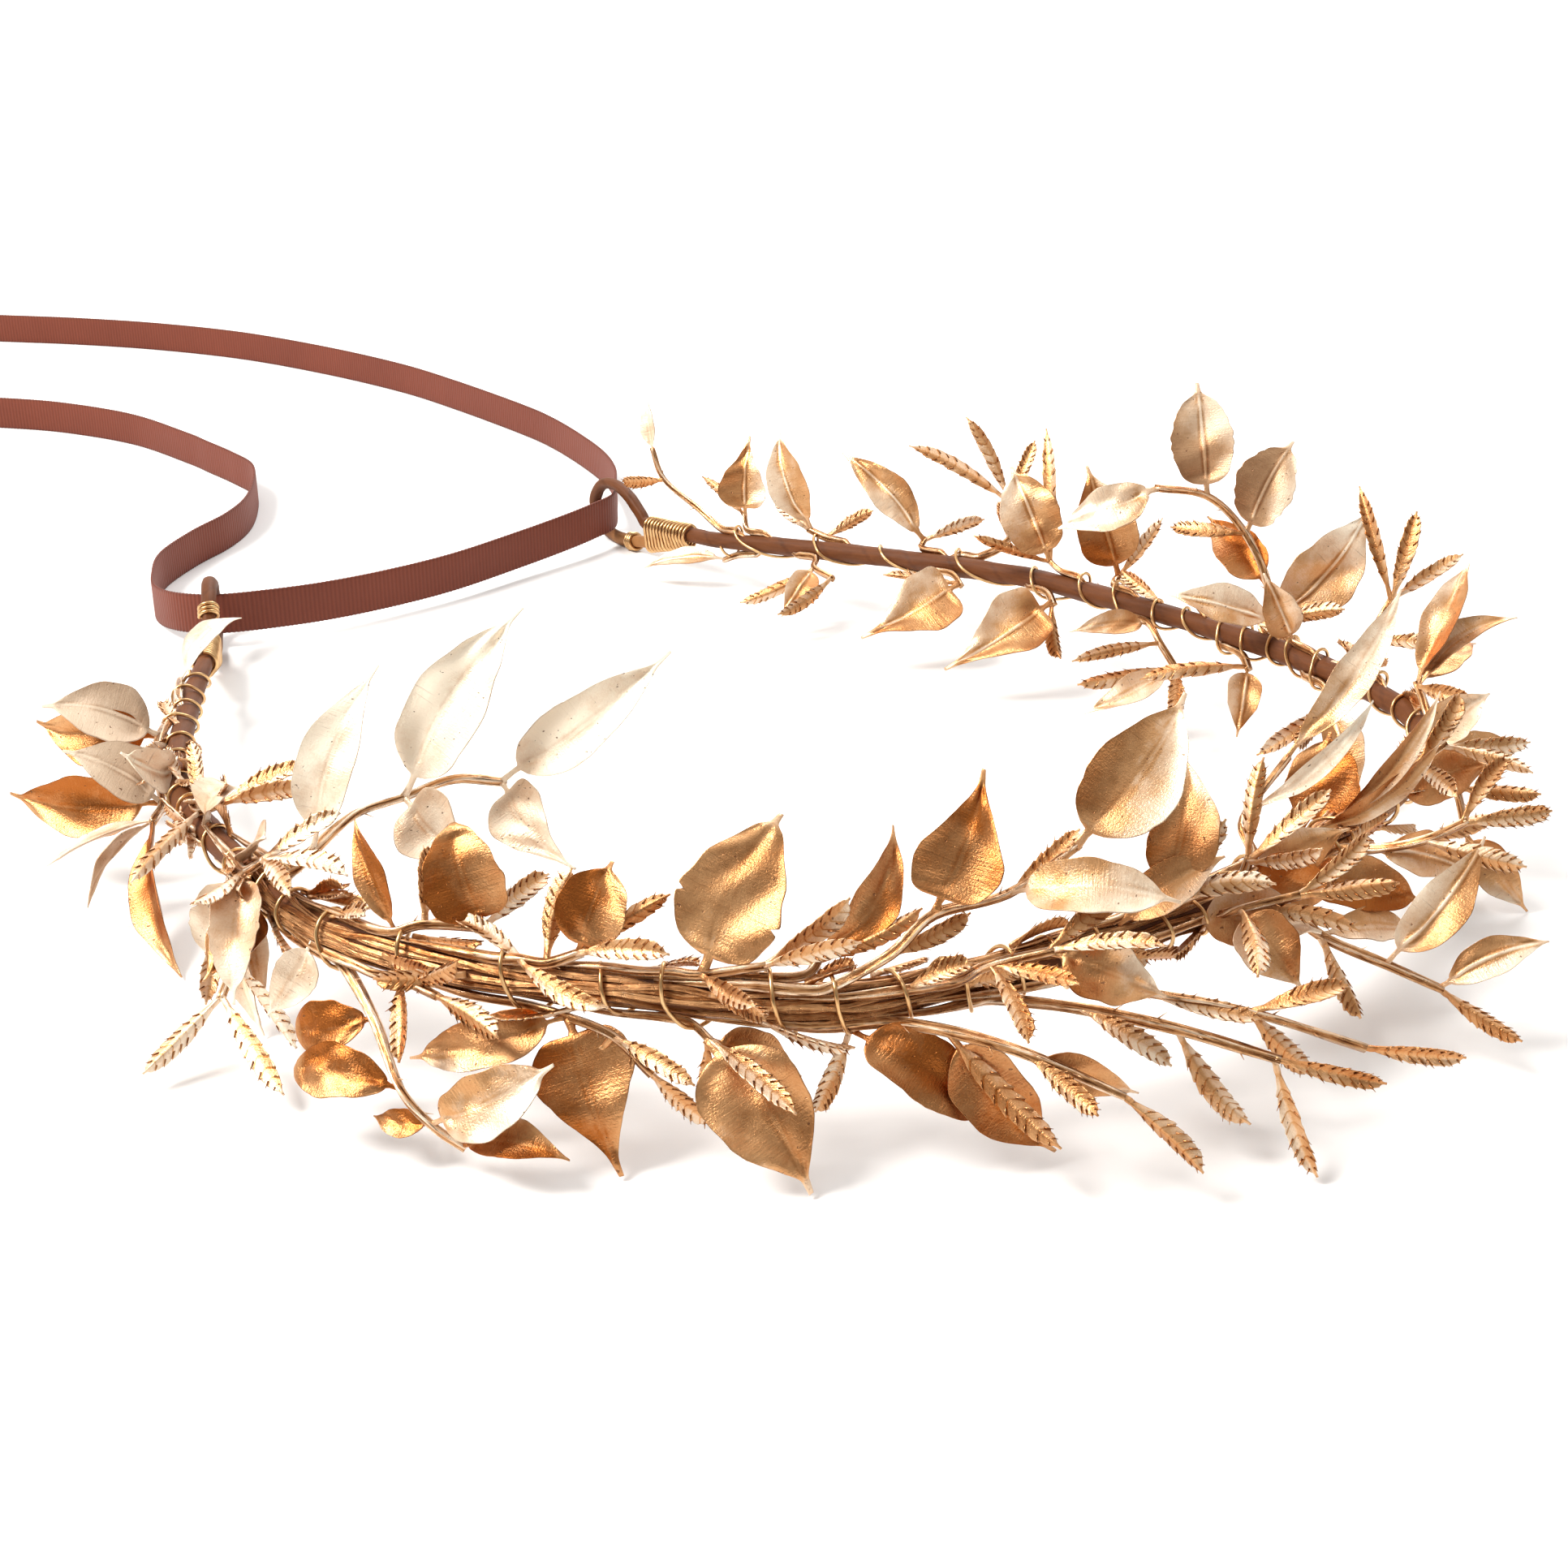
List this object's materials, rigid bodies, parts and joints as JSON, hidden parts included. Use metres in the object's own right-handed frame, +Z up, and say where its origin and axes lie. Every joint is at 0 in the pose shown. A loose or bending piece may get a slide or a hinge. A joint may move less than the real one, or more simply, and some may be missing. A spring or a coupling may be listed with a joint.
{
  "type": "laurel wreath crown",
  "caption": "Open horseshoe leaf crown: taped wire band with broad leaves and serrated sprigs in gold metal, end loops and a ribbon to tie it round the head.",
  "frame": {"origin": "on the surface it lies on, at the middle of the crown's box without the ribbon", "axes": "+Z up, -Y towards the front of the hoop, +Y towards the open back with the ribbon, +X to the wearer's left"},
  "size_m": [0.1821, 0.4499, 0.0513],
  "materials": {
    "taped_core": "matte brown floral tape wound over wire",
    "fine_wire": "bright fine wire, close turns",
    "gold_stems": "satin gold, ribbed stems",
    "gold_leaf": "satin champagne gold with veins and small pits",
    "ribbon": "reddish brown grosgrain with fine crosswise ribs"
  },
  "bodies": {
    "root": {"band_core": "taped_core", "neck_coil_left": "fine_wire", "neck_coil_right": "fine_wire", "stem_bundle": "gold_stems", "ribbon": "ribbon", "spray_left_fan": "gold_leaf", "spray_left_low": "gold_leaf", "spray_left_tuft": "gold_leaf", "spray_left_mid": "gold_leaf", "spray_left_arch": "gold_leaf", "spray_left_hang": "gold_leaf", "spray_front_first": "gold_leaf", "spray_front_second": "gold_leaf", "spray_front_third": "gold_leaf", "spray_front_low": "gold_leaf", "spray_front_high": "gold_leaf", "spray_front_fall": "gold_leaf", "spray_front_rise": "gold_leaf", "spray_front_arch": "gold_leaf", "spray_front_drop": "gold_leaf", "spray_fan_near": "gold_leaf", "spray_fan_middle": "gold_leaf", "spray_fan_far": "gold_leaf", "spray_front_out": "gold_leaf", "spray_right_first": "gold_leaf", "spray_right_tuft": "gold_leaf", "spray_right_long": "gold_leaf", "spray_right_inner": "gold_leaf", "spray_right_out": "gold_leaf", "spray_right_wide": "gold_leaf", "spray_right_crest": "gold_leaf", "spray_right_low": "gold_leaf", "spray_right_top": "gold_leaf", "spray_right_side": "gold_leaf", "spray_back_bud": "gold_leaf", "spray_back_first": "gold_leaf", "spray_back_second": "gold_leaf", "spray_back_third": "gold_leaf", "spray_back_fourth": "gold_leaf", "spray_back_fifth": "gold_leaf", "spray_back_sixth": "gold_leaf", "spray_back_arch": "gold_leaf", "spray_back_seventh": "gold_leaf", "spray_back_spikes": "gold_leaf", "spray_inner_first": "gold_leaf", "spray_inner_second": "gold_leaf", "spray_inner_third": "gold_leaf", "spray_inner_fourth": "gold_leaf", "spray_inner_fifth": "gold_leaf", "spray_inner_sixth": "gold_leaf", "spray_neck_left": "gold_leaf", "spray_neck_right": "gold_leaf"}
  },
  "joints": []
}
